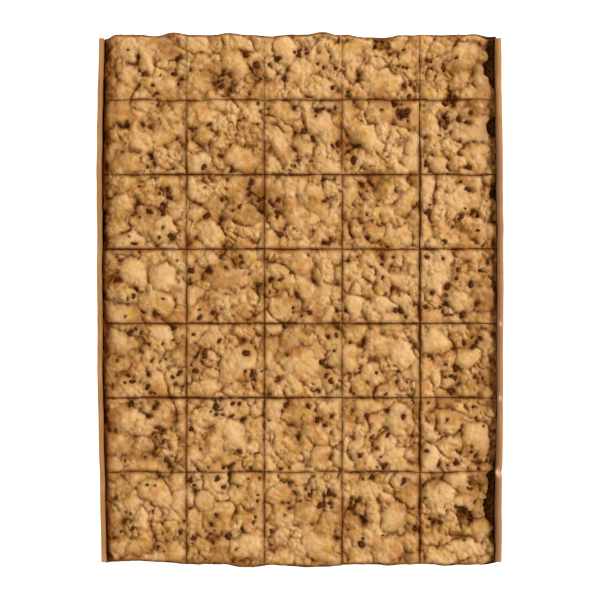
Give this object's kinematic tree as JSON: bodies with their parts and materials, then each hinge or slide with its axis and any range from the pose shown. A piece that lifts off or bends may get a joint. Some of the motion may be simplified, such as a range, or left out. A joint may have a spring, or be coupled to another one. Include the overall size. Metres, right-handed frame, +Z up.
{
  "type": "brookie",
  "caption": "Slab of brownie with a lumpy chocolate-chip cookie top, cut into portions that lie together in a folded card case with two side walls.",
  "frame": {"origin": "middle of the footprint, on the surface that the case stands on", "axes": "+X across the slab, +Y along it towards the row of short portions, +Z up"},
  "size_m": [0.3131, 0.4108, 0.029],
  "materials": {
    "cookie": "matte",
    "brownie": "matte",
    "chocolate": "satin",
    "card": "matte"
  },
  "bodies": {
    "root": {"case": "card", "portion_r1_c1": "cookie", "portion_r1_c2": "cookie", "portion_r1_c3": "cookie", "portion_r1_c4": "cookie", "portion_r1_c5": "cookie", "portion_r2_c1": "cookie", "portion_r2_c2": "cookie", "portion_r2_c3": "cookie", "portion_r2_c4": "cookie", "portion_r2_c5": "cookie", "portion_r3_c1": "cookie", "portion_r3_c2": "cookie", "portion_r3_c3": "cookie", "portion_r3_c4": "cookie", "portion_r3_c5": "cookie", "portion_r4_c1": "cookie", "portion_r4_c2": "cookie", "portion_r4_c3": "cookie", "portion_r4_c4": "cookie", "portion_r4_c5": "cookie", "portion_r5_c1": "cookie", "portion_r5_c2": "cookie", "portion_r5_c3": "cookie", "portion_r5_c4": "cookie", "portion_r5_c5": "cookie", "portion_r6_c1": "cookie", "portion_r6_c2": "cookie", "portion_r6_c3": "cookie", "portion_r6_c4": "cookie", "portion_r6_c5": "cookie", "portion_r7_c1": "cookie", "portion_r7_c2": "cookie", "portion_r7_c3": "cookie", "portion_r7_c4": "cookie", "portion_r7_c5": "cookie"}
  },
  "joints": []
}
